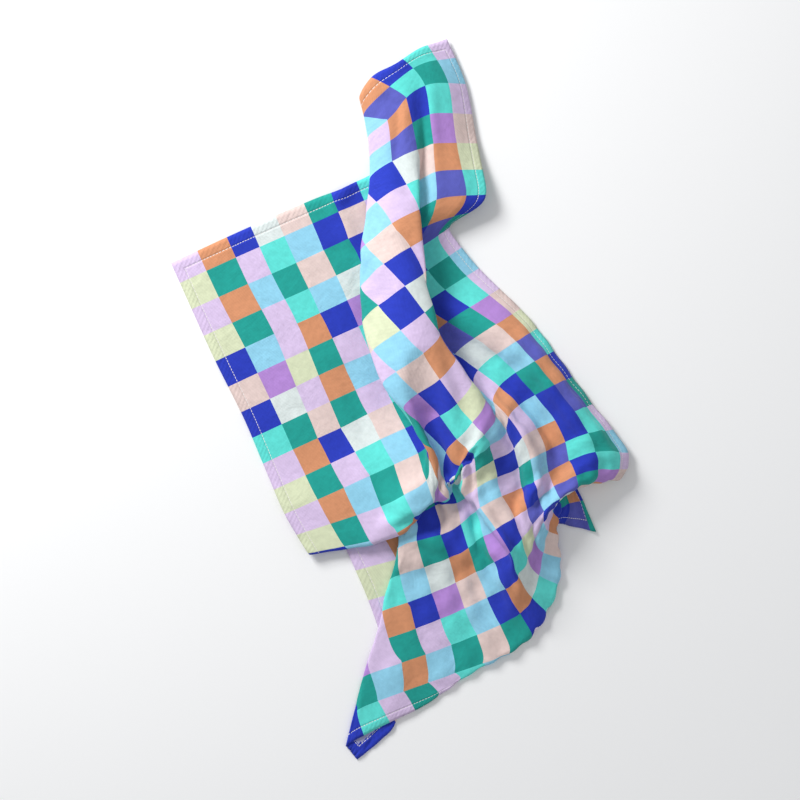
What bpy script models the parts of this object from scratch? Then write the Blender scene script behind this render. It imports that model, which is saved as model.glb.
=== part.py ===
"""A crumpled tea towel: one printed cotton sheet lying in its folds, hems turned and stitched.

Metres, +Z up, +X to the right and +Y away.  The sheet is described by sections across its
width; each section names where its folds stand.  Points are eased between them.
"""
import bmesh
import bpy
import numpy as np

MM = 0.001
SQUARE = 29.6
THICKNESS = 1.2
FLOOR_LIFT = THICKNESS / 2
EASING_ROUNDS = 5
RELIEF = 0.4
RELIEF_FROM = 8.0
LAYER_GAP = 2.5
LAYER_REACH = 12
LAYER_RATIO = 0.6
STACKING_ROUNDS = 12
CELL = 0.5
FABRIC_COLOUR = (0.35, 0.52, 0.62, 1.0)

# Columns of every section: distance from the left hem in squares, then x, y, z of that fold in mm.
STATIONS = ("left_hem", "left_a", "left_b", "left_c", "tuck", "under", "edge",
            "crest", "far_edge", "far_tuck", "right_a", "right_b", "right_hem")
# Rows: distance from the top hem in squares, then one fold per station.
SECTIONS = (
    (0.0, ((0.0, -233, 140, 1), (2.0, -178, 166, 1), (4.0, -124, 190, 1), (6.4, -58, 218, 1),
           (9.9, 41, 260, 3), (11.5, 5, 284, 6), (13.4, -44, 305, 10), (14.0, -28, 330, 15),
           (14.7, -3, 340, 18), (15.2, 10, 350, 17), (15.7, 22, 358, 15), (16.2, 35, 363, 10),
           (16.8, 49, 369, 4))),
    (1.7, ((0.0, -212, 93, 1), (2.0, -158, 117, 1), (4.0, -104, 140, 1), (6.5, -36, 173, 1),
           (9.4, 43, 207, 3), (10.9, 10, 237, 6), (12.4, -36, 266, 10), (13.0, -9, 281, 17),
           (14.0, 7, 308, 19), (14.7, 20, 319, 17), (15.4, 37, 324, 17), (16.1, 54, 324, 13),
           (16.8, 69, 324, 4))),
    (3.7, ((0.0, -188, 40, 1), (2.0, -131, 67, 1), (4.0, -79, 90, 1), (5.9, -32, 113, 1),
           (8.7, 44, 146, 3), (10.5, 11, 190, 6), (12.4, -34, 228, 10), (13.0, -10, 244, 18),
           (14.0, 20, 255, 20), (14.5, 26, 257, 11), (15.0, 32, 260, 16), (16.0, 56, 261, 14),
           (16.8, 80, 262, 4))),
    (6.0, ((0.0, -158, -19, 1), (2.0, -106, 5, 1), (3.6, -67, 25, 1), (5.0, -30, 39, 1),
           (7.2, 31, 66, 3), (8.8, 1, 105, 6), (10.5, -46, 138, 12), (12.0, -6, 172, 26),
           (13.1, 26, 187, 24), (13.9, 8, 178, 12), (15.1, 42, 198, 18), (16.0, 68, 200, 18),
           (16.8, 92, 201, 14))),
    (7.7, ((0.0, -139, -65, 1), (2.0, -86, -40, 1), (3.2, -57, -28, 1), (4.3, -31, -13, 1),
           (6.5, 28, 13, 3), (8.0, -1, 48, 6), (9.4, -46, 79, 13), (11.0, 3, 113, 31),
           (12.5, 34, 133, 25), (14.0, -8, 139, 12), (15.0, 10, 151, 9), (16.0, 32, 167, 8),
           (16.8, 46, 178, 8))),
    (9.7, ((0.0, -117, -117, 7), (1.6, -73, -97, 7), (2.6, -47, -84, 9), (3.6, -22, -72, 13),
           (5.8, 34, -47, 19), (7.2, 15, -12, 22), (8.6, -24, 16, 25), (10.0, 19, 41, 36),
           (11.3, 45, 67, 28), (13.0, 2, 80, 12), (14.2, 22, 97, 8), (15.5, 51, 116, 8),
           (16.8, 81, 135, 2))),
    (12.0, ((0.0, -89, -163, 7), (1.3, -53, -158, 8), (2.6, -15, -151, 10), (3.9, 13, -142, 14),
            (5.2, 38, -118, 21), (6.8, 44, -76, 29), (8.2, 28, -34, 33), (10.0, 64, -13, 42),
            (11.3, 86, 15, 25), (12.6, 52, 29, 9), (13.6, 68, 49, 9), (15.1, 103, 70, 19),
            (16.8, 130, 88, 2))),
    (13.2, ((0.0, -85, -133, 5), (1.4, -46, -129, 5), (2.8, -6, -124, 6), (4.1, 24, -116, 8),
            (5.2, 50, -110, 15), (6.8, 70, -112, 27), (8.2, 62, -66, 27), (9.9, 84, -36, 42),
            (11.2, 99, -8, 22), (12.5, 82, 8, 14), (13.7, 96, 31, 8), (15.2, 126, 50, 24),
            (16.8, 148, 64, 2))),
    (14.4, ((0.0, -80, -98, 3), (1.5, -36, -96, 3), (3.0, 8, -92, 3), (4.3, 28, -88, 5),
            (5.3, 46, -80, 7), (6.8, 68, -76, 9), (8.2, 78, -58, 17), (9.8, 92, -44, 40),
            (11.2, 110, -28, 17), (12.5, 106, -6, 26), (13.8, 121, 8, 9), (15.2, 148, 24, 27),
            (16.8, 170, 32, 3))),
    (16.0, ((0.0, -54, -152, 1), (1.5, -12, -140, 1), (3.0, 29, -127, 1), (4.5, 2, -112, 3),
            (5.5, 20, -103, 5), (6.8, 48, -92, 9), (8.2, 75, -80, 8), (9.8, 95, -67, 38),
            (11.2, 118, -56, 14), (12.5, 130, -40, 30), (13.8, 153, -34, 9), (15.2, 182, -20, 27),
            (16.8, 203, -12, 4))),
    (17.7, ((0.0, -31, -204, 1), (1.2, 4, -195, 1), (2.3, 39, -187, 2), (4.3, -5, -149, 5),
            (5.3, 12, -141, 6), (6.9, 56, -131, 10), (8.4, 78, -108, 6), (9.9, 98, -99, 37),
            (11.2, 121, -88, 13), (12.5, 137, -82, 28), (13.8, 158, -70, 9), (15.3, 197, -50, 27),
            (16.8, 238, -56, 7))),
    (19.7, ((0.0, -8, -272, 1), (0.8, 8, -258, 1), (1.5, 22, -246, 2), (3.4, -20, -215, 5),
            (4.6, 11, -206, 6), (6.4, 58, -186, 8), (8.1, 92, -167, 6), (9.4, 111, -153, 34),
            (10.4, 121, -142, 17), (11.4, 132, -130, 8), (12.8, 148, -108, 22), (14.8, 188, -88, 21),
            (16.8, 226, -84, 9))),
    (21.7, ((0.0, 2, -331, 1), (0.7, -11, -316, 1), (1.4, -26, -299, 2), (2.2, -40, -282, 4),
            (3.5, -3, -269, 5), (5.5, 50, -251, 4), (7.5, 103, -228, 6), (9.0, 129, -212, 12),
            (10.4, 138, -185, 12), (11.7, 142, -150, 10), (13.0, 151, -123, 9), (14.9, 158, -88, 6),
            (16.8, 170, -68, 2))),
    (22.7, ((0.0, -19, -350, 1), (0.5, -30, -338, 1), (1.0, -39, -327, 2), (1.5, -48, -316, 3),
            (3.5, 6, -297, 5), (5.5, 61, -279, 4), (7.5, 122, -262, 5), (9.0, 152, -238, 6),
            (10.4, 170, -196, 6), (11.7, 176, -157, 6), (13.0, 164, -128, 6), (14.9, 172, -106, 4),
            (16.8, 188, -102, 2))),
    (23.6, ((0.0, -42, -369, 1), (0.3, -47, -363, 1), (0.5, -51, -358, 2), (0.8, -55, -353, 2),
            (2.5, -13, -331, 4), (4.2, 34, -310, 3), (6.5, 72, -272, 1), (8.5, 108, -236, 1),
            (10.4, 133, -190, 1), (11.9, 136, -156, 1), (13.4, 118, -132, 1), (15.1, 156, -124, 1),
            (16.8, 202, -135, 1))),
)


def clear_scene():
    """Remove every object so that only the towel is left."""
    for item in list(bpy.data.objects):
        bpy.data.objects.remove(item, do_unlink=True)


def raised(height):
    """A table height as a real one: 1 lies on the surface below, and ridges stand up."""
    return height - 1 + FLOOR_LIFT + RELIEF * max(height - RELIEF_FROM, 0)


def control_grid():
    """Return the section table as an array: section, station, then u, v, x, y, z."""
    rows = []
    for along, folds in SECTIONS:
        rows.append([(across, along, x, y, raised(z)) for across, x, y, z in folds])
    return np.array(rows, dtype=float)


def span_cells(lengths):
    """Number of cells for each span, near one CELL long."""
    return [max(1, int(round(length / CELL))) for length in lengths]


def refine(grid, counts):
    """Split the spans of the first axis evenly into the given counts."""
    parts = []
    for index, count in enumerate(counts):
        steps = np.arange(count)[:, None, None] / count
        parts.append(grid[index] * (1 - steps) + grid[index + 1] * steps)
    parts.append(grid[-1:])
    return np.concatenate(parts)


def lying_grid():
    """Refine the control grid both ways, so that each fold keeps its own line of points."""
    control = control_grid()
    along = span_cells(np.diff(control[:, 0, 1]))
    across = span_cells(np.diff(control[:, :, 0], axis=1).mean(axis=0))
    grid = refine(control, along)
    return refine(grid.swapaxes(0, 1), across).swapaxes(0, 1)


def ease_axis(places):
    """Round the bends along the first axis, and leave the sharp turns of a fold nearly alone."""
    back = places[1:-1] - places[:-2]
    ahead = places[2:] - places[1:-1]
    lengths = np.linalg.norm(back, axis=2) * np.linalg.norm(ahead, axis=2)
    turn = (back * ahead).sum(axis=2) / np.maximum(lengths, 1e-6)
    strength = np.where(turn < 0.0, 0.25, 0.5)[:, :, None]
    eased = places.copy()
    middle = (places[2:] + places[:-2]) / 2
    eased[1:-1] = places[1:-1] * (1 - strength) + middle * strength
    return eased


def eased_grid():
    """The lying sheet's middle surface in mm."""
    grid = lying_grid()
    places = grid[:, :, 2:5]
    for _ in range(EASING_ROUNDS):
        places = ease_axis(places)
        places = ease_axis(places.swapaxes(0, 1)).swapaxes(0, 1)
    places[:, :, 2] = stacked_heights(places, grid[:, :, :2])
    return places


def overlying_pairs(places, cloth):
    """Pairs of points, lower then upper, where one layer of cloth lies over another.

    Two points count as layers when they are far nearer in plan than along the cloth.
    """
    flat = places.reshape(-1, 3)
    spread = cloth.reshape(-1, 2) * SQUARE
    lower = []
    upper = []
    for index, place in enumerate(flat):
        plan = np.hypot(flat[:, 0] - place[0], flat[:, 1] - place[1])
        along = np.hypot(spread[:, 0] - spread[index, 0], spread[:, 1] - spread[index, 1])
        layered = (plan < LAYER_REACH) & (plan < LAYER_RATIO * along)
        over = np.nonzero(layered & (flat[:, 2] > place[2]))[0]
        lower.append(np.full(len(over), index))
        upper.append(over)
    return np.concatenate(lower), np.concatenate(upper)


def stacked_heights(places, cloth):
    """Heights with every layer at least LAYER_GAP above the one it lies on."""
    lower, upper = overlying_pairs(places, cloth)
    shape = places.shape[:2]
    heights = np.maximum(places[:, :, 2], FLOOR_LIFT)
    for _ in range(STACKING_ROUNDS):
        level = heights.reshape(-1).copy()
        np.maximum.at(level, upper, level[lower] + LAYER_GAP)
        heights = level.reshape(shape)
    return heights


def normals_of(places):
    """Unit normals of a grid of points, facing up where the print faces up."""
    down = np.diff(places, axis=0)
    right = np.diff(places, axis=1)
    corner = {}
    for near, row in (("top", slice(None, -1)), ("low", slice(1, None))):
        for side, column in (("left", slice(None, -1)), ("far", slice(1, None))):
            cross = np.cross(down[:, column], right[row])
            corner[near, side] = cross / np.maximum(np.linalg.norm(cross, axis=2), 1e-6)[:, :, None]
    normals = np.zeros_like(places)
    normals[:-1, :-1] += corner["top", "left"]
    normals[:-1, 1:] += corner["top", "far"]
    normals[1:, :-1] += corner["low", "left"]
    normals[1:, 1:] += corner["low", "far"]
    return normals / np.maximum(np.linalg.norm(normals, axis=2), 1e-6)[:, :, None]


def add_skin(mesh, places):
    """Add one layer of vertices to the mesh and return them as a grid."""
    return [[mesh.verts.new([value * MM for value in place]) for place in row] for row in places]


def rim_of(grid):
    """The border of a grid of vertices, walked once round."""
    top = grid[0]
    right = [row[-1] for row in grid[1:]]
    bottom = grid[-1][-2::-1]
    left = [row[0] for row in grid[-2:0:-1]]
    return top + right + bottom + left


def build_towel():
    """Build the closed sheet and put it in the scene."""
    places = eased_grid()
    offset = normals_of(places) * (THICKNESS / 2)
    mesh = bmesh.new()
    skins = np.stack((places + offset, places - offset))
    middle = (skins.min(axis=(0, 1, 2)) + skins.max(axis=(0, 1, 2))) / 2
    middle[2] = skins[..., 2].min()
    face_side = add_skin(mesh, skins[0] - middle)
    back_side = add_skin(mesh, skins[1] - middle)
    for i in range(len(places) - 1):
        for j in range(len(places[0]) - 1):
            for skin in (face_side, back_side):
                mesh.faces.new((skin[i][j], skin[i + 1][j], skin[i + 1][j + 1], skin[i][j + 1]))
    face_rim = rim_of(face_side)
    back_rim = rim_of(back_side)
    for k in range(len(face_rim)):
        after = (k + 1) % len(face_rim)
        mesh.faces.new((face_rim[k], face_rim[after], back_rim[after], back_rim[k]))
    bmesh.ops.recalc_face_normals(mesh, faces=mesh.faces)
    bmesh.ops.triangulate(mesh, faces=mesh.faces)
    data = bpy.data.meshes.new("towel")
    mesh.to_mesh(data)
    mesh.free()
    towel = bpy.data.objects.new("towel", data)
    bpy.context.collection.objects.link(towel)
    return towel


def fabric_material():
    """Printed cotton."""
    material = bpy.data.materials.new("printed_cotton")
    material.use_nodes = True
    surface = material.node_tree.nodes["Principled BSDF"]
    surface.inputs["Base Color"].default_value = FABRIC_COLOUR
    surface.inputs["Roughness"].default_value = 0.9
    return material


clear_scene()
build_towel().data.materials.append(fabric_material())
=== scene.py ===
"""A crumpled, check-printed cotton tea towel lying on a pale floor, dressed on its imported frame."""

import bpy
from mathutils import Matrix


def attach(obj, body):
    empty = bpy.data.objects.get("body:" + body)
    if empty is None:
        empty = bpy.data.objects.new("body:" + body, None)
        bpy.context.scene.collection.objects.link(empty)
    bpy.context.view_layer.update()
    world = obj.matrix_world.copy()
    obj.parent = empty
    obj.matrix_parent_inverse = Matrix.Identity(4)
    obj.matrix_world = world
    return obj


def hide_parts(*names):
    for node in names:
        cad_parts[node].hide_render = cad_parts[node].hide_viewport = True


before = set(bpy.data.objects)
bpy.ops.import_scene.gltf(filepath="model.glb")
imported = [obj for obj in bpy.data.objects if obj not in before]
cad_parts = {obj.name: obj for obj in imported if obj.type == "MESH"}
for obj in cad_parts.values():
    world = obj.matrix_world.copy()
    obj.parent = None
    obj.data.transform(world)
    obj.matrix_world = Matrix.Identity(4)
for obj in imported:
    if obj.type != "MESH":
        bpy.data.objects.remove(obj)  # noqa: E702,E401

import logging
import math
from dataclasses import dataclass, field
from enum import Enum
from typing import Union

import bmesh
import bpy
import numpy as np
from mathutils import Vector

logging.basicConfig(level=logging.INFO, format="%(message)s")
LOG = logging.getLogger("tea_towel")

Socket = bpy.types.NodeSocket
Number = Union[float, Socket]
Paint = Union[tuple, Socket]

MM = 0.001
# Side of a printed square, thicknesses, hem and stitches in mm; the flat size in metres.
SQUARE = 29.6
FLAT_SIZE = (0.500, 0.700)
SOLID_THICKNESS = 1.2
FLOOR_LIFT = SOLID_THICKNESS / 2
CLOTH_THICKNESS = 0.7
HEM_WIDTH = 10.5
HEM_EXTRA = 0.5
STITCH_WIDTH = 0.6
# Real threads are about 0.4 mm apart, which is too fine to show, so the weave is drawn coarser.
WEAVE_PITCH = 0.9
STITCH_PITCH = 3.2
# The sheet's grid: a cell in squares, how often each cell is split, and rounds of easing.
CELL = 0.5
COARSE_SPLIT = 2
FINE_SPLIT = 2
EASING_ROUNDS = 1
FINE_EASING_ROUNDS = 1
FINE_FOLD_STRENGTH = 0.4
# How ridges stand up and layers stack, in mm.
RELIEF = 0.5
RELIEF_FROM = 8.0
LAYER_GAP = 2.5
LAYER_REACH = 12.0
LAYER_RATIO = 0.6
STACKING_ROUNDS = 12
# The small creases: depth in mm everywhere and more where gathered, and two spacings in squares.
RUMPLE_LEAST = 0.12
RUMPLE_DEPTH = 0.9
RUMPLE_ACROSS = 0.83
RUMPLE_ALONG = 1.05
# The print: columns, and how far it is shifted and skewed in squares.
PRINT_COLUMNS = 17
PRINT_LEFT = 0.03
PRINT_TOP = 0.27
PRINT_SKEW = 0.026

# Columns of every section: distance from the left hem in squares, then x, y, z of that fold in mm.
STATIONS = ("left_hem", "left_a", "left_b", "left_c", "tuck", "under", "edge",
            "crest", "far_edge", "far_tuck", "right_a", "right_b", "right_hem")
# Rows: distance from the top hem in squares, then one fold per station.
SECTIONS = (
    (0.0, ((0.0, -233, 140, 1), (2.0, -178, 166, 1), (4.0, -124, 190, 1), (6.4, -58, 218, 1),
           (9.9, 41, 260, 3), (11.5, 5, 284, 6), (13.4, -44, 305, 10), (14.0, -28, 330, 15),
           (14.7, -3, 340, 18), (15.2, 10, 350, 17), (15.7, 22, 358, 15), (16.2, 35, 363, 10),
           (16.8, 49, 369, 4))),
    (1.7, ((0.0, -212, 93, 1), (2.0, -158, 117, 1), (4.0, -104, 140, 1), (6.5, -36, 173, 1),
           (9.4, 43, 207, 3), (10.9, 10, 237, 6), (12.4, -36, 266, 10), (13.0, -9, 281, 17),
           (14.0, 7, 308, 19), (14.7, 20, 319, 17), (15.4, 37, 324, 17), (16.1, 54, 324, 13),
           (16.8, 69, 324, 4))),
    (3.7, ((0.0, -188, 40, 1), (2.0, -131, 67, 1), (4.0, -79, 90, 1), (5.9, -32, 113, 1),
           (8.7, 44, 146, 3), (10.5, 11, 190, 6), (12.4, -34, 228, 10), (13.0, -10, 244, 18),
           (14.0, 20, 255, 20), (14.5, 26, 257, 11), (15.0, 32, 260, 16), (16.0, 56, 261, 14),
           (16.8, 80, 262, 4))),
    (6.0, ((0.0, -158, -19, 1), (2.0, -106, 5, 1), (3.6, -67, 25, 1), (5.0, -30, 39, 1),
           (7.2, 31, 66, 3), (8.8, 1, 105, 6), (10.5, -46, 138, 12), (12.0, -6, 172, 26),
           (13.1, 26, 187, 24), (13.9, 8, 178, 12), (15.1, 42, 198, 18), (16.0, 68, 200, 18),
           (16.8, 92, 201, 14))),
    (7.7, ((0.0, -139, -65, 1), (2.0, -86, -40, 1), (3.2, -57, -28, 1), (4.3, -31, -13, 1),
           (6.5, 28, 13, 3), (8.0, -1, 48, 6), (9.4, -46, 79, 13), (11.0, 3, 113, 31),
           (12.5, 34, 133, 25), (14.0, -8, 139, 12), (15.0, 10, 151, 9), (16.0, 32, 167, 8),
           (16.8, 46, 178, 8))),
    (9.7, ((0.0, -117, -117, 7), (1.6, -73, -97, 7), (2.6, -47, -84, 9), (3.6, -22, -72, 13),
           (5.8, 34, -47, 19), (7.2, 15, -12, 22), (8.6, -24, 16, 25), (10.0, 19, 41, 36),
           (11.3, 45, 67, 28), (13.0, 2, 80, 12), (14.2, 22, 97, 8), (15.5, 51, 116, 8),
           (16.8, 81, 135, 2))),
    (12.0, ((0.0, -89, -163, 7), (1.3, -53, -158, 8), (2.6, -15, -151, 10), (3.9, 13, -142, 14),
            (5.2, 38, -118, 21), (6.8, 44, -76, 29), (8.2, 28, -34, 33), (10.0, 64, -13, 42),
            (11.3, 86, 15, 25), (12.6, 52, 29, 9), (13.6, 68, 49, 9), (15.1, 103, 70, 19),
            (16.8, 130, 88, 2))),
    (13.2, ((0.0, -85, -133, 5), (1.4, -46, -129, 5), (2.8, -6, -124, 6), (4.1, 24, -116, 8),
            (5.2, 50, -110, 15), (6.8, 70, -112, 27), (8.2, 62, -66, 27), (9.9, 84, -36, 42),
            (11.2, 99, -8, 22), (12.5, 82, 8, 14), (13.7, 96, 31, 8), (15.2, 126, 50, 24),
            (16.8, 148, 64, 2))),
    (14.4, ((0.0, -80, -98, 3), (1.5, -36, -96, 3), (3.0, 8, -92, 3), (4.3, 28, -88, 5),
            (5.3, 46, -80, 7), (6.8, 68, -76, 9), (8.2, 78, -58, 17), (9.8, 92, -44, 40),
            (11.2, 110, -28, 17), (12.5, 106, -6, 26), (13.8, 121, 8, 9), (15.2, 148, 24, 27),
            (16.8, 170, 32, 3))),
    (16.0, ((0.0, -54, -152, 1), (1.5, -12, -140, 1), (3.0, 29, -127, 1), (4.5, 2, -112, 3),
            (5.5, 20, -103, 5), (6.8, 48, -92, 9), (8.2, 75, -80, 8), (9.8, 95, -67, 38),
            (11.2, 118, -56, 14), (12.5, 130, -40, 30), (13.8, 153, -34, 9), (15.2, 182, -20, 27),
            (16.8, 203, -12, 4))),
    (17.7, ((0.0, -31, -204, 1), (1.2, 4, -195, 1), (2.3, 39, -187, 2), (4.3, -5, -149, 5),
            (5.3, 12, -141, 6), (6.9, 56, -131, 10), (8.4, 78, -108, 6), (9.9, 98, -99, 37),
            (11.2, 121, -88, 13), (12.5, 137, -82, 28), (13.8, 158, -70, 9), (15.3, 197, -50, 27),
            (16.8, 238, -56, 7))),
    (19.7, ((0.0, -8, -272, 1), (0.8, 8, -258, 1), (1.5, 22, -246, 2), (3.4, -20, -215, 5),
            (4.6, 11, -206, 6), (6.4, 58, -186, 8), (8.1, 92, -167, 6), (9.4, 111, -153, 34),
            (10.4, 121, -142, 17), (11.4, 132, -130, 8), (12.8, 148, -108, 22), (14.8, 188, -88, 21),
            (16.8, 226, -84, 9))),
    (21.7, ((0.0, 2, -331, 1), (0.7, -11, -316, 1), (1.4, -26, -299, 2), (2.2, -40, -282, 4),
            (3.5, -3, -269, 5), (5.5, 50, -251, 4), (7.5, 103, -228, 6), (9.0, 129, -212, 12),
            (10.4, 138, -185, 12), (11.7, 142, -150, 10), (13.0, 151, -123, 9), (14.9, 158, -88, 6),
            (16.8, 170, -68, 2))),
    (22.7, ((0.0, -19, -350, 1), (0.5, -30, -338, 1), (1.0, -39, -327, 2), (1.5, -48, -316, 3),
            (3.5, 6, -297, 5), (5.5, 61, -279, 4), (7.5, 122, -262, 5), (9.0, 152, -238, 6),
            (10.4, 170, -196, 6), (11.7, 176, -157, 6), (13.0, 164, -128, 6), (14.9, 172, -106, 4),
            (16.8, 188, -102, 2))),
    (23.6, ((0.0, -42, -369, 1), (0.3, -47, -363, 1), (0.5, -51, -358, 2), (0.8, -55, -353, 2),
            (2.5, -13, -331, 4), (4.2, 34, -310, 3), (6.5, 72, -272, 1), (8.5, 108, -236, 1),
            (10.4, 133, -190, 1), (11.9, 136, -156, 1), (13.4, 118, -132, 1), (15.1, 156, -124, 1),
            (16.8, 202, -135, 1))),
)


@dataclass(frozen=True)
class Crease:
    """One soft ridge, or trough where the height is negative, pressed into the cloth."""

    start: tuple[float, float]
    end: tuple[float, float]
    half_width: float
    height: float


# The main creases: from and to in squares from the left and top hems, then mm.
CREASES = (
    Crease((4.2, 6.0), (3.5, 10.0), 10.0, -1.6),
    Crease((1.9, 7.0), (3.3, 11.3), 12.0, 1.5),
    Crease((0.8, 9.5), (2.2, 12.0), 9.0, 1.2),
    Crease((1.2, 1.0), (1.2, 6.0), 6.0, -0.6),
    Crease((13.6, 1.0), (13.0, 5.0), 7.0, -2.2),
    Crease((15.2, 2.0), (15.0, 6.0), 8.0, 1.8),
    Crease((10.6, 4.0), (11.8, 11.0), 9.0, 2.0),
    Crease((12.2, 6.5), (12.0, 11.0), 7.0, -2.4),
    Crease((9.0, 11.5), (7.6, 13.4), 8.0, -4.5),
    Crease((7.5, 11.0), (6.4, 12.8), 8.0, 3.0),
    Crease((9.0, 14.0), (9.0, 18.0), 7.0, -3.0),
    Crease((14.6, 8.0), (14.9, 13.0), 9.0, 2.2),
    Crease((13.2, 9.0), (14.4, 13.5), 8.0, -2.4),
    Crease((15.9, 13.0), (15.9, 18.0), 8.0, 1.8),
    Crease((5.0, 17.0), (9.0, 21.0), 9.0, 2.2),
    Crease((6.5, 16.8), (7.5, 21.5), 8.0, -2.2),
    Crease((3.5, 19.0), (5.0, 22.5), 9.0, 1.8),
    Crease((8.3, 18.0), (10.0, 21.5), 8.0, -2.8),
)


class Ink(Enum):
    """The printed colours, as sRGB hex."""

    L = "DCC6E9"
    V = "B78BD6"
    I = "5E62BE"  # noqa: E741
    B = "2A3DBB"
    S = "95D4EE"
    Q = "62E2D8"
    T = "22A196"
    O = "D9956D"  # noqa: E741
    P = "E6CFC9"
    Y = "DBE2BF"
    W = "DDE6E4"


# The print, a row of squares to a line from the top hem down; it repeats every eight rows.
CHECK_CHART = (
    "LOBWPTBQPYBWPOBQL",
    "YTLQSBPLLSLTSIQTS",
    "LOSTPTBQSPOBLOBQL",
    "YTLQSWOTVBLISITVP",
    "BSLOBVPSBQYLBWPOY",
    "PVYTLQSBOWVSLQSIQ",
    "BWLOSTPTBQSPOBTOB",
    "QTPTLQSWLTLBLSBIT",
)
# The last rows above the bottom hem, which differ from the repeat near the left hem.
LAST_ROWS = (
    "PVLTLQSBOWVSLQSIQ",
    "BTSOSTPTBQSPOBTOB",
    "BQLTLQSWLTLBLSBIT",
)
LAST_ROWS_FROM = 21


def linear(hex_colour: str) -> tuple[float, float, float, float]:
    """Turn an sRGB hex colour into linear RGBA.

    Args:
        hex_colour: Six hex digits.

    Returns:
        Linear red, green, blue and an alpha of one.
    """
    channels = [int(hex_colour[i:i + 2], 16) / 255 for i in (0, 2, 4)]
    curved = [c / 12.92 if c <= 0.04045 else ((c + 0.055) / 1.055) ** 2.4 for c in channels]
    return (curved[0], curved[1], curved[2], 1.0)


@dataclass(frozen=True)
class Finish:
    """How one side of the cloth takes light."""

    name: str
    fade: float
    roughness: float = 0.9
    weave_depth: float = 0.12
    mottle: float = 0.06


# Plain-woven cotton, reactive-printed: matt, a little soft sheen, clear colours on the face.
PRINTED_SIDE = Finish("printed_cotton_face", fade=0.0)
# The same cotton from behind, where the print shows through paler.
BACK_SIDE = Finish("printed_cotton_back", fade=0.45)


def ease_axis(places: np.ndarray, fold_strength: float = 0.25) -> np.ndarray:
    """Round the bends along the first axis, leaving sharp fold turns nearly alone.

    Args:
        places: Grid of points.
        fold_strength: How far a sharp turn is rounded, from 0 to 1.

    Returns:
        The eased grid.
    """
    back = places[1:-1] - places[:-2]
    ahead = places[2:] - places[1:-1]
    lengths = np.linalg.norm(back, axis=2) * np.linalg.norm(ahead, axis=2)
    turn = (back * ahead).sum(axis=2) / np.maximum(lengths, 1e-6)
    strength = np.where(turn < 0.0, fold_strength, 0.5)[:, :, None]
    eased = places.copy()
    middle = (places[2:] + places[:-2]) / 2
    eased[1:-1] = places[1:-1] * (1 - strength) + middle * strength
    return eased


def refine(grid: np.ndarray, counts: list[int]) -> np.ndarray:
    """Split the spans of the first axis evenly.

    Args:
        grid: Grid of points.
        counts: Cells for each span.

    Returns:
        The finer grid.
    """
    parts = []
    for index, count in enumerate(counts):
        steps = np.arange(count)[:, None, None] / count
        parts.append(grid[index] * (1 - steps) + grid[index + 1] * steps)
    parts.append(grid[-1:])
    return np.concatenate(parts)


def normals_of(places: np.ndarray) -> np.ndarray:
    """Unit normals of a grid of points, on the printed side.

    Args:
        places: Grid of points.

    Returns:
        Grid of unit vectors.
    """
    down = np.diff(places, axis=0)
    right = np.diff(places, axis=1)
    normals = np.zeros_like(places)
    ends = (slice(None, -1), slice(1, None))
    for row in ends:
        for column in ends:
            cross = np.cross(down[:, column], right[row])
            cross /= np.maximum(np.linalg.norm(cross, axis=2), 1e-6)[:, :, None]
            normals[row, column] += cross
    return normals / np.maximum(np.linalg.norm(normals, axis=2), 1e-6)[:, :, None]


def raised(height: float) -> float:
    """Turn a table height, where 1 lies on the floor, into a real one with ridges stood up.

    Args:
        height: Height from the table in mm.

    Returns:
        Height of the middle surface in mm.
    """
    return height - 1 + FLOOR_LIFT + RELIEF * max(height - RELIEF_FROM, 0)


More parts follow.
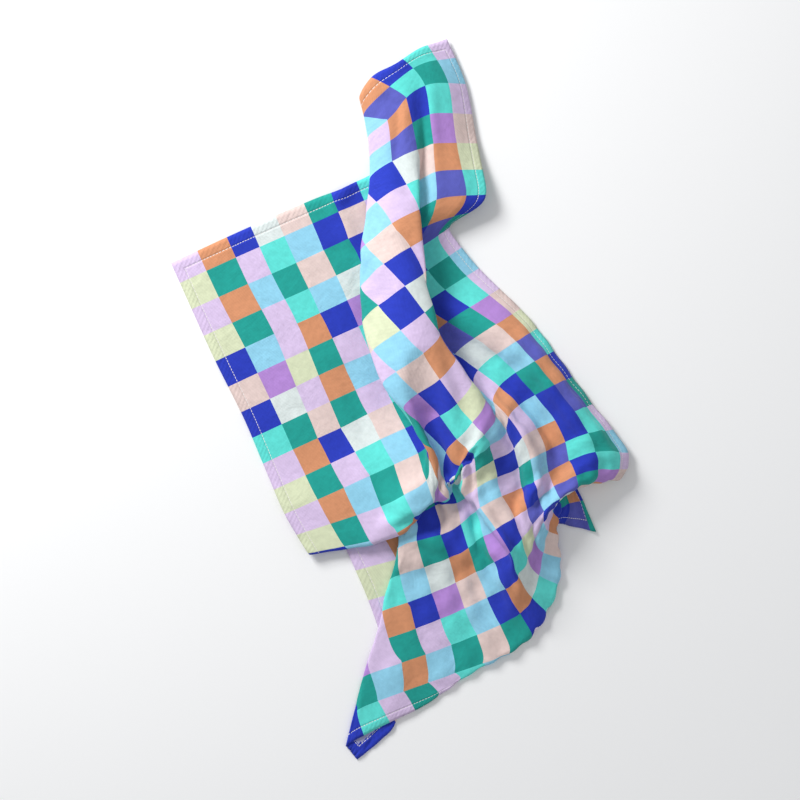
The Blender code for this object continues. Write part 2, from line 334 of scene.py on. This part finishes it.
@dataclass
class LyingSheet:
    """The towel's middle surface in mm, with the place of each point along the cloth."""

    places: np.ndarray = field(init=False)
    cloth: np.ndarray = field(init=False)

    def __post_init__(self) -> None:
        """Lay the sheet from its sections, stack its layers and refine it."""
        rows = [[(u, v, x, y, raised(z)) for u, x, y, z in folds] for v, folds in SECTIONS]
        control = np.array(rows, dtype=float)
        along = self.cells(np.diff(control[:, 0, 1]))
        across = self.cells(np.diff(control[:, :, 0], axis=1).mean(axis=0))
        grid = refine(refine(control, along).swapaxes(0, 1), across).swapaxes(0, 1)
        places = grid[:, :, 2:5]
        for _ in range(EASING_ROUNDS):
            places = ease_axis(places)
            places = ease_axis(places.swapaxes(0, 1)).swapaxes(0, 1)
        places[:, :, 2] = self.stacked(places, grid[:, :, :2])
        self.centre(places)
        self.places, self.cloth = places, grid[:, :, :2]
        self.split(COARSE_SPLIT)

    @staticmethod
    def cells(lengths: np.ndarray) -> list[int]:
        """Count the cells for each span, near one CELL long.

        Args:
            lengths: Length of each span in squares.

        Returns:
            Cells for each span.
        """
        return [max(1, int(round(length / CELL))) for length in lengths]

    @staticmethod
    def stacked(places: np.ndarray, cloth: np.ndarray) -> np.ndarray:
        """Work out heights with every layer at least LAYER_GAP above the one it lies on.

        Args:
            places: Grid of points.
            cloth: Where each point is along the cloth, in squares.

        Returns:
            Grid of heights in mm.
        """
        flat = places.reshape(-1, 3)
        spread = cloth.reshape(-1, 2) * SQUARE
        lower, upper = [], []
        for index, place in enumerate(flat):
            plan = np.hypot(flat[:, 0] - place[0], flat[:, 1] - place[1])
            along = np.hypot(spread[:, 0] - spread[index, 0], spread[:, 1] - spread[index, 1])
            layered = (plan < LAYER_REACH) & (plan < LAYER_RATIO * along)
            over = np.nonzero(layered & (flat[:, 2] > place[2]))[0]
            lower.append(np.full(len(over), index))
            upper.append(over)
        below, above = np.concatenate(lower), np.concatenate(upper)
        level = np.maximum(flat[:, 2], FLOOR_LIFT)
        for _ in range(STACKING_ROUNDS):
            lifted = level.copy()
            np.maximum.at(lifted, above, level[below] + LAYER_GAP)
            level = lifted
        return level.reshape(places.shape[:2])

    @staticmethod
    def centre(places: np.ndarray) -> None:
        """Put the solid's box, which is this surface and half the thickness, on the origin.

        Args:
            places: Grid of points, moved in place.
        """
        offset = normals_of(places) * (SOLID_THICKNESS / 2)
        skins = np.stack((places + offset, places - offset))
        middle = (skins.min(axis=(0, 1, 2)) + skins.max(axis=(0, 1, 2))) / 2
        middle[2] = skins[..., 2].min()
        places -= middle

    def rumple(self) -> None:
        """Add the small soft creases of handled cotton, deeper where the cloth is gathered."""
        across, along = self.cloth[:, :, 0], self.cloth[:, :, 1]
        gathered = np.clip((along - 10.5) / 3.0, 0.0, 1.0) * np.clip((across - 3.5) / 3.0, 0.0, 1.0)
        tucked = np.clip((across - 6.5) / 1.5, 0.0, 1.0) * np.clip((12.0 - across) / 1.5, 0.0, 1.0)
        tucked *= np.clip((9.0 - along) / 2.0, 0.0, 1.0)
        depth = RUMPLE_LEAST + RUMPLE_DEPTH * np.maximum(gathered, tucked)
        wander = 0.8 * np.sin(0.9 * along + 0.5) + 0.5 * np.sin(1.7 * along - 0.4 * across)
        folds = np.sin(2 * math.pi * across / RUMPLE_ACROSS + wander)
        folds += 0.6 * np.sin(2 * math.pi * (along + 0.35 * across) / RUMPLE_ALONG + 0.7 * wander)
        self.places += normals_of(self.places) * (depth * folds)[:, :, None]

    def crease(self) -> None:
        """Press the main creases into the sheet, and keep it all on the floor."""
        push = np.zeros(self.cloth.shape[:2])
        for crease in CREASES:
            start, line = np.array(crease.start), np.subtract(crease.end, crease.start)
            share = np.clip((self.cloth - start) @ line / (line @ line), 0.0, 1.0)
            off = np.linalg.norm(self.cloth - start - share[:, :, None] * line, axis=2) * SQUARE
            push += crease.height * np.exp(-(off / crease.half_width) ** 2)
        self.places += normals_of(self.places) * push[:, :, None]
        self.places[:, :, 2] = np.maximum(self.places[:, :, 2], (CLOTH_THICKNESS + HEM_EXTRA) / 2)

    def split(self, count: int) -> None:
        """Refine the grid and round it again.

        Args:
            count: Cells made of each cell, both ways.
        """
        grid = np.concatenate((self.cloth, self.places), axis=2)
        grid = refine(grid, [count] * (len(grid) - 1)).swapaxes(0, 1)
        grid = refine(grid, [count] * (len(grid) - 1)).swapaxes(0, 1)
        places = grid[:, :, 2:5]
        for _ in range(FINE_EASING_ROUNDS):
            places = ease_axis(places, FINE_FOLD_STRENGTH)
            places = ease_axis(places.swapaxes(0, 1), FINE_FOLD_STRENGTH).swapaxes(0, 1)
        self.places = places
        self.cloth = grid[:, :, :2]


class NodeTree:
    """A small helper that adds and joins shader nodes."""

    def __init__(self, name: str) -> None:
        """Make a node material.

        Args:
            name: The material's name.
        """
        self.material = bpy.data.materials.new(name)
        self.material.use_nodes = True
        self.tree = self.material.node_tree
        self.surface = self.tree.nodes["Principled BSDF"]

    def add(self, kind: str, values: dict | None = None, **settings) -> bpy.types.Node:
        """Add one node.

        Args:
            kind: Blender's node type.
            values: Socket index or name to a constant, or to a socket to join from.
            settings: Attributes of the node.

        Returns:
            The node.
        """
        node = self.tree.nodes.new(kind)
        for key, value in settings.items():
            setattr(node, key, value)
        for key, value in (values or {}).items():
            if isinstance(value, bpy.types.NodeSocket):
                self.tree.links.new(value, node.inputs[key])
            else:
                node.inputs[key].default_value = value
        return node

    def math(self, operation: str, first: Number, second: Number = 0.0,
             third: Number = 0.0) -> Socket:
        """Add a maths node.

        Args:
            operation: Blender's name for it.
            first: Number or socket.
            second: Number or socket.
            third: Number or socket.

        Returns:
            The result.
        """
        node = self.add("ShaderNodeMath", {0: first, 1: second, 2: third}, operation=operation)
        return node.outputs[0]

    def mix(self, factor: Number, first: Paint, second: Paint, blend: str = "MIX") -> Socket:
        """Mix two colours.

        Args:
            factor: Share of the second.
            first: Colour or socket.
            second: Colour or socket.
            blend: Blender's name for the way they mix.

        Returns:
            The mixed colour.
        """
        values = {0: factor, 6: first, 7: second}
        node = self.add("ShaderNodeMix", values, data_type="RGBA", blend_type=blend)
        return node.outputs[2]


@dataclass
class PrintedCotton:
    """Plain-weave cotton printed with the chart's squares."""

    finish: Finish

    def build(self) -> bpy.types.Material:
        """Make the material.

        Returns:
            The material.
        """
        nodes = NodeTree(self.finish.name)
        place = nodes.add("ShaderNodeUVMap", uv_map="cloth").outputs[0]
        split = nodes.add("ShaderNodeSeparateXYZ", {0: place})
        across, along = split.outputs[0], split.outputs[1]
        colour = self.print_colour(nodes, across, along)
        noise = nodes.add("ShaderNodeTexNoise", {"Vector": place, "Scale": 5.0, "Detail": 6.0})
        shade = nodes.add("ShaderNodeMapRange", {0: noise.outputs[0], 1: 0.3, 2: 0.7,
                                                 3: 1 - self.finish.mottle, 4: 1 + self.finish.mottle})
        colour = nodes.mix(1.0, colour, shade.outputs[0], "MULTIPLY")
        colour = nodes.mix(self.finish.fade, colour, linear("F1EFF0"))
        colour = nodes.mix(self.stitches(nodes, across, along), colour, linear("F4EFEC"))
        nodes.tree.links.new(colour, nodes.surface.inputs["Base Color"])
        nodes.surface.inputs["Roughness"].default_value = self.finish.roughness
        nodes.surface.inputs["Specular IOR Level"].default_value = 0.2
        nodes.surface.inputs["Sheen Weight"].default_value = 0.12
        self.relief(nodes, place, across, along)
        return nodes.material

    def print_colour(self, nodes: NodeTree, across: Socket, along: Socket) -> Socket:
        """The colour of the square that each point is in.

        Args:
            nodes: The material's nodes.
            across: Squares from the left hem.
            along: Squares from the top hem.

        Returns:
            The printed colour.
        """
        skewed = nodes.math("MULTIPLY_ADD", along, -PRINT_SKEW, PRINT_LEFT + 1.0)
        column = nodes.math("FLOOR", nodes.math("ADD", across, skewed))
        reach = nodes.math("DIVIDE", nodes.math("ADD", column, 0.5), PRINT_COLUMNS + 2.0)
        row = nodes.math("FLOOR", nodes.math("ADD", along, PRINT_TOP))
        repeated = nodes.math("FLOORED_MODULO", row, float(len(CHECK_CHART)))
        colour = self.printed_rows(nodes, linear(Ink.W.value), reach, repeated, CHECK_CHART, 0)
        colour = self.printed_rows(nodes, colour, reach, row, LAST_ROWS, LAST_ROWS_FROM)
        return colour

    def printed_rows(self, nodes: NodeTree, colour: Paint, reach: Socket, row: Socket,
                     rows: tuple[str, ...], first: int) -> Socket:
        """Print rows of letters over a colour, each from its own row on.

        Args:
            nodes: The material's nodes.
            colour: What lies under the print.
            reach: How far across the chart each point is, from 0 to 1.
            row: The row of squares that each point is in.
            rows: The letters, a string to a row.
            first: Number of the first of these rows.

        Returns:
            The printed colour.
        """
        for index, letters in enumerate(rows):
            ramp = nodes.add("ShaderNodeValToRGB", {0: reach})
            self.fill(ramp.color_ramp, letters[:1] + letters + letters[-1:])
            later = nodes.math("GREATER_THAN", row, first + index - 0.5)
            colour = nodes.mix(later, colour, ramp.outputs[0])
        return colour

    @staticmethod
    def fill(ramp: bpy.types.ColorRamp, letters: str) -> None:
        """Give a ramp one flat step for each letter.

        Args:
            ramp: The ramp to fill.
            letters: Names of the inks.
        """
        ramp.interpolation = "CONSTANT"
        while len(ramp.elements) > 1:
            ramp.elements.remove(ramp.elements[-1])
        for index, letter in enumerate(letters):
            step = ramp.elements[0] if index == 0 else ramp.elements.new(index / len(letters))
            step.position = index / len(letters)
            step.color = linear(Ink[letter].value)

    def relief(self, nodes: NodeTree, place: Socket, across: Socket, along: Socket) -> None:
        """Raise the weave, soft creases and the turned hem's line.

        Args:
            nodes: The material's nodes.
            place: The cloth map.
            across: Squares from the left hem.
            along: Squares from the top hem.
        """
        pitch = SQUARE / WEAVE_PITCH * math.pi
        warp = nodes.math("SINE", nodes.math("MULTIPLY", across, pitch))
        weft = nodes.math("SINE", nodes.math("MULTIPLY", along, pitch))
        weave = nodes.math("MULTIPLY", nodes.math("MULTIPLY", warp, weft), self.finish.weave_depth)
        crumple = nodes.add("ShaderNodeTexNoise", {"Vector": place, "Scale": 0.9, "Detail": 5.0,
                                                   "Roughness": 0.55, "Distortion": 0.6})
        soft = nodes.math("MULTIPLY", crumple.outputs[0], 2.6)
        height = nodes.math("ADD", weave, soft)
        height = nodes.math("ADD", height, self.hem_height(nodes, across, along))
        bump = nodes.add("ShaderNodeBump", {"Height": height, "Strength": 0.75, "Distance": MM})
        nodes.tree.links.new(bump.outputs[0], nodes.surface.inputs["Normal"])

    @staticmethod
    def edge_distance(nodes: NodeTree, across: Socket, along: Socket) -> Socket:
        """Distance from the nearest cloth edge, in mm.

        Args:
            nodes: The material's nodes.
            across: Squares from the left hem.
            along: Squares from the top hem.

        Returns:
            The distance.
        """
        width, length = FLAT_SIZE[0] / MM / SQUARE, FLAT_SIZE[1] / MM / SQUARE
        side = nodes.math("MINIMUM", across, nodes.math("SUBTRACT", width, across))
        end = nodes.math("MINIMUM", along, nodes.math("SUBTRACT", length, along))
        return nodes.math("MULTIPLY", nodes.math("MINIMUM", side, end), SQUARE)

    @staticmethod
    def stitches(nodes: NodeTree, across: Socket, along: Socket) -> Socket:
        """One where a pale stitch of the hem's thread shows, else nought.

        Args:
            nodes: The material's nodes.
            across: Squares from the left hem.
            along: Squares from the top hem.

        Returns:
            The factor.
        """
        edge = PrintedCotton.edge_distance(nodes, across, along)
        off = nodes.math("ABSOLUTE", nodes.math("SUBTRACT", edge, HEM_WIDTH))
        on_line = nodes.math("LESS_THAN", off, STITCH_WIDTH / 2)
        run = nodes.math("MULTIPLY", nodes.math("ADD", across, along), SQUARE / STITCH_PITCH)
        on_stitch = nodes.math("LESS_THAN", nodes.math("FRACT", run), 0.65)
        return nodes.math("MULTIPLY", on_line, on_stitch)

    @staticmethod
    def hem_height(nodes: NodeTree, across: Socket, along: Socket) -> Socket:
        """A sunk line of stitching, with small puckers between it and the edge.

        Args:
            nodes: The material's nodes.
            across: Squares from the left hem.
            along: Squares from the top hem.

        Returns:
            The height in mm.
        """
        edge = PrintedCotton.edge_distance(nodes, across, along)
        off = nodes.math("ABSOLUTE", nodes.math("SUBTRACT", edge, HEM_WIDTH))
        groove = nodes.add("ShaderNodeMapRange", {0: off, 1: 0.0, 2: 1.6, 3: -0.6, 4: 0.0})
        run = nodes.math("ADD", across, along)
        ripple = nodes.math("SINE", nodes.math("MULTIPLY", run, SQUARE * 1.1))
        inside = nodes.add("ShaderNodeMapRange", {0: edge, 1: HEM_WIDTH + 2, 2: HEM_WIDTH - 3,
                                                  3: 0.0, 4: 0.10})
        pucker = nodes.math("MULTIPLY", ripple, inside.outputs[0])
        return nodes.math("ADD", groove.outputs[0], pucker)


@dataclass
class Settling:
    """A short cloth simulation that lets the laid sheet take its own small folds."""

    sheet: LyingSheet
    frames: int = 30
    grip: float = 0.04
    firm: float = 0.8
    tucked_grip: float = 0.3
    loose_middle: tuple[float, float] = (8.5, 14.5)
    loose_reach: tuple[float, float] = (7.0, 5.0)

    def run(self) -> None:
        """Settle the sheet's middle surface and store it back."""
        cloth = self.surface()
        floor = self.ground()
        self.hold(cloth)
        self.modifier(cloth)
        scene = bpy.context.scene
        scene.frame_start, scene.frame_end = 1, self.frames
        for frame_number in range(1, self.frames + 1):
            scene.frame_set(frame_number)
        result = cloth.evaluated_get(bpy.context.evaluated_depsgraph_get())
        spots = np.empty(len(result.data.vertices) * 3)
        result.data.vertices.foreach_get("co", spots)
        self.sheet.places = spots.reshape(self.sheet.places.shape) / MM
        for item in (cloth, floor):
            bpy.data.objects.remove(item, do_unlink=True)
        scene.frame_set(1)

    def surface(self) -> bpy.types.Object:
        """Make the sheet as an open mesh whose rest shape is the flat cut cloth.

        Returns:
            The object to settle.
        """
        rows, columns = self.sheet.places.shape[:2]
        numbers = np.arange(rows * columns).reshape(rows, columns)
        corners = (numbers[:-1, :-1], numbers[1:, :-1], numbers[1:, 1:], numbers[:-1, 1:])
        faces = np.stack(corners, axis=2).reshape(-1, 4)
        data = bpy.data.meshes.new("settling")
        data.from_pydata((self.sheet.places.reshape(-1, 3) * MM).tolist(), [], faces.tolist())
        cloth = bpy.data.objects.new("settling", data)
        bpy.context.collection.objects.link(cloth)
        cloth.shape_key_add(name="Basis")
        rest = cloth.shape_key_add(name="cut")
        flat = self.sheet.cloth.reshape(-1, 2) * SQUARE * MM
        spots = np.stack((flat[:, 0], -flat[:, 1], np.zeros(len(flat))), axis=1)
        rest.data.foreach_set("co", spots.reshape(-1))
        return cloth

    @staticmethod
    def ground() -> bpy.types.Object:
        """Make the surface that the cloth lies on.

        Returns:
            The floor, for this simulation only.
        """
        mesh = bmesh.new()
        bmesh.ops.create_grid(mesh, x_segments=1, y_segments=1, size=1.0)
        data = bpy.data.meshes.new("ground")
        mesh.to_mesh(data)
        mesh.free()
        floor = bpy.data.objects.new("ground", data)
        bpy.context.collection.objects.link(floor)
        floor.modifiers.new("collision", "COLLISION")
        floor.collision.thickness_outer = 0.0004
        floor.collision.cloth_friction = 20.0
        return floor

    def hold(self, cloth: bpy.types.Object) -> None:
        """Hold the flat panel and the outline firmly, and the crumpled middle lightly.

        Args:
            cloth: The cloth to settle.
        """
        group = cloth.vertex_groups.new(name="hold")
        across, along = self.sheet.cloth[:, :, 0].reshape(-1), self.sheet.cloth[:, :, 1].reshape(-1)
        aside = (across - self.loose_middle[0]) / self.loose_reach[0]
        down = (along - self.loose_middle[1]) / self.loose_reach[1]
        weight = np.where(np.hypot(aside, down) < 1.0, self.grip, self.firm)
        hidden = (across > 6.0) & (across < 12.0) & (along < 9.0)
        weight = np.where(hidden, self.tucked_grip, weight)
        for index, value in enumerate(weight):
            group.add([index], float(value), "REPLACE")

    def modifier(self, cloth: bpy.types.Object) -> None:
        """Set the cloth's stiffness, weight and collisions.

        Args:
            cloth: The cloth to settle.
        """
        settle = cloth.modifiers.new("settle", "CLOTH")
        settings = settle.settings
        settings.quality = 8
        settings.mass = 0.0002
        settings.tension_stiffness = 15
        settings.compression_stiffness = 80
        settings.shear_stiffness = 8
        settings.bending_stiffness = 0.5
        settings.air_damping = 2.0
        settings.vertex_group_mass = "hold"
        settings.pin_stiffness = 1.0
        settings.rest_shape_key = cloth.data.shape_keys.key_blocks["cut"]
        touch = settle.collision_settings
        touch.collision_quality = 4
        touch.distance_min = 0.0008
        touch.use_self_collision = True
        touch.self_distance_min = 0.0010
        touch.self_friction = 8.0
        settle.point_cache.frame_end = self.frames


@dataclass
class Towel:
    """The visible cloth: a closed thin sheet, thicker along its turned hems."""

    sheet: LyingSheet

    def build(self) -> bpy.types.Object:
        """Make the sheet's mesh.

        Returns:
            The cloth object.
        """
        offset = normals_of(self.sheet.places) * (self.thickness() / 2)[:, :, None]
        mesh = bmesh.new()
        face_side = self.skin(mesh, self.sheet.places + offset)
        back_side = self.skin(mesh, self.sheet.places - offset)
        layer = mesh.loops.layers.uv.new("cloth")
        spots = {}
        for skin in (face_side, back_side):
            for row, marks in zip(skin, self.sheet.cloth):
                for vert, mark in zip(row, marks):
                    spots[vert] = mark
        hem = self.hem_cells()
        for i in range(len(face_side) - 1):
            for j in range(len(face_side[0]) - 1):
                self.cell(mesh, face_side, i, j, 0)
                self.cell(mesh, back_side, i, j, 0 if hem[i, j] else 1)
        self.close(mesh, face_side, back_side)
        for face in mesh.faces:
            for loop in face.loops:
                loop[layer].uv = spots[loop.vert]
        bmesh.ops.recalc_face_normals(mesh, faces=mesh.faces)
        data = bpy.data.meshes.new("towel_cloth")
        mesh.to_mesh(data)
        mesh.free()
        data.materials.append(PrintedCotton(PRINTED_SIDE).build())
        data.materials.append(PrintedCotton(BACK_SIDE).build())
        data.shade_smooth()
        cloth = bpy.data.objects.new("towel_cloth", data)
        bpy.context.collection.objects.link(cloth)
        LOG.info("towel_cloth: %d faces", len(data.polygons))
        return cloth

    def edge_distance(self) -> np.ndarray:
        """Return each point's distance from the nearest cloth edge, in mm."""
        across, along = self.sheet.cloth[:, :, 0], self.sheet.cloth[:, :, 1]
        side = np.minimum(across, across.max() - across)
        end = np.minimum(along, along.max() - along)
        return np.minimum(side, end) * SQUARE

    def thickness(self) -> np.ndarray:
        """Return the cloth's thickness at each point, in mm."""
        inside = np.clip((HEM_WIDTH + 1.5 - self.edge_distance()) / 3.0, 0.0, 1.0)
        return CLOTH_THICKNESS + HEM_EXTRA * inside

    def hem_cells(self) -> np.ndarray:
        """Return which cells of the back are the turned hem."""
        distance = self.edge_distance()
        return (distance[:-1, :-1] + distance[1:, 1:]) / 2 < HEM_WIDTH + 1.0

    @staticmethod
    def skin(mesh: bmesh.types.BMesh, places: np.ndarray) -> list[list[bmesh.types.BMVert]]:
        """Add one side's vertices.

        Args:
            mesh: The mesh to add to.
            places: Grid of points in mm.

        Returns:
            Grid of vertices.
        """
        return [[mesh.verts.new(Vector(place) * MM) for place in row] for row in places]

    @staticmethod
    def cell(mesh: bmesh.types.BMesh, skin: list, i: int, j: int, slot: int) -> None:
        """Add one face of the grid.

        Args:
            mesh: The mesh to add to.
            skin: Grid of vertices.
            i: Row of the cell.
            j: Column of the cell.
            slot: Its material's number.
        """
        corners = (skin[i][j], skin[i + 1][j], skin[i + 1][j + 1], skin[i][j + 1])
        mesh.faces.new(corners).material_index = slot

    @staticmethod
    def close(mesh: bmesh.types.BMesh, face_side: list, back_side: list) -> None:
        """Join the two sides round the edge.

        Args:
            mesh: The mesh to add to.
            face_side: Grid of vertices on the printed side.
            back_side: Grid of vertices on the back.
        """
        rims = []
        for grid in (face_side, back_side):
            right = [row[-1] for row in grid[1:]]
            left = [row[0] for row in grid[-2:0:-1]]
            rims.append(grid[0] + right + grid[-1][-2::-1] + left)
        count = len(rims[0])
        for k in range(count):
            after = (k + 1) % count
            mesh.faces.new((rims[0][k], rims[0][after], rims[1][after], rims[1][k]))


@dataclass
class Studio:
    """A pale floor, soft light from the upper left and a camera straight above."""

    view_width: float = 0.8197
    focal: float = 85.0

    def build(self) -> None:
        """Put up the floor, lights, world and camera."""
        bpy.context.scene.view_settings.view_transform = "Standard"
        self.floor()
        self.light("key_light", (-1.2, 1.3, 1.0), 0.7, 44.0)
        self.light("fill_light", (1.1, -0.7, 1.6), 2.0, 4.0)
        world = bpy.data.worlds.new("soft_surround")
        world.use_nodes = True
        background = world.node_tree.nodes["Background"]
        background.inputs[0].default_value = linear("F7F9FC")
        background.inputs[1].default_value = 0.42
        bpy.context.scene.world = world
        self.camera()

    @staticmethod
    def floor() -> None:
        """A plain pale floor."""
        mesh = bmesh.new()
        bmesh.ops.create_grid(mesh, x_segments=1, y_segments=1, size=4.0)
        data = bpy.data.meshes.new("floor")
        mesh.to_mesh(data)
        mesh.free()
        nodes = NodeTree("pale_floor")
        nodes.surface.inputs["Base Color"].default_value = linear("FDFDFD")
        nodes.surface.inputs["Roughness"].default_value = 0.9
        data.materials.append(nodes.material)
        item = bpy.data.objects.new("floor", data)
        bpy.context.collection.objects.link(item)

    @staticmethod
    def light(name: str, place: tuple[float, float, float], size: float, power: float) -> None:
        """Hang one square soft light that faces the towel.

        Args:
            name: The light's name.
            place: Its place in metres.
            size: Side of the square in metres.
            power: Power in watts.
        """
        data = bpy.data.lights.new(name, "AREA")
        data.size = size
        data.energy = power
        item = bpy.data.objects.new(name, data)
        item.location = place
        item.rotation_euler = (-Vector(place)).to_track_quat("-Z", "Y").to_euler()
        bpy.context.collection.objects.link(item)

    def camera(self) -> None:
        """A camera straight above, with +Y at the top of the picture."""
        data = bpy.data.cameras.new("camera")
        data.lens = self.focal
        item = bpy.data.objects.new("camera", data)
        item.location = (0.0, 0.0, self.view_width * self.focal / data.sensor_width)
        bpy.context.collection.objects.link(item)
        bpy.context.scene.camera = item


def main() -> None:
    """Dress the frame, set the studio and log the cloth's face count."""
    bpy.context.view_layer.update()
    sheet = LyingSheet()
    Settling(sheet).run()
    sheet.split(FINE_SPLIT)
    sheet.rumple()
    sheet.crease()
    cloth = Towel(sheet).build()
    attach(cloth, "root")
    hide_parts("towel")
    Studio().build()
    LOG.info("studio: floor, two lights and the camera")


if __name__ == "__main__":
    main()
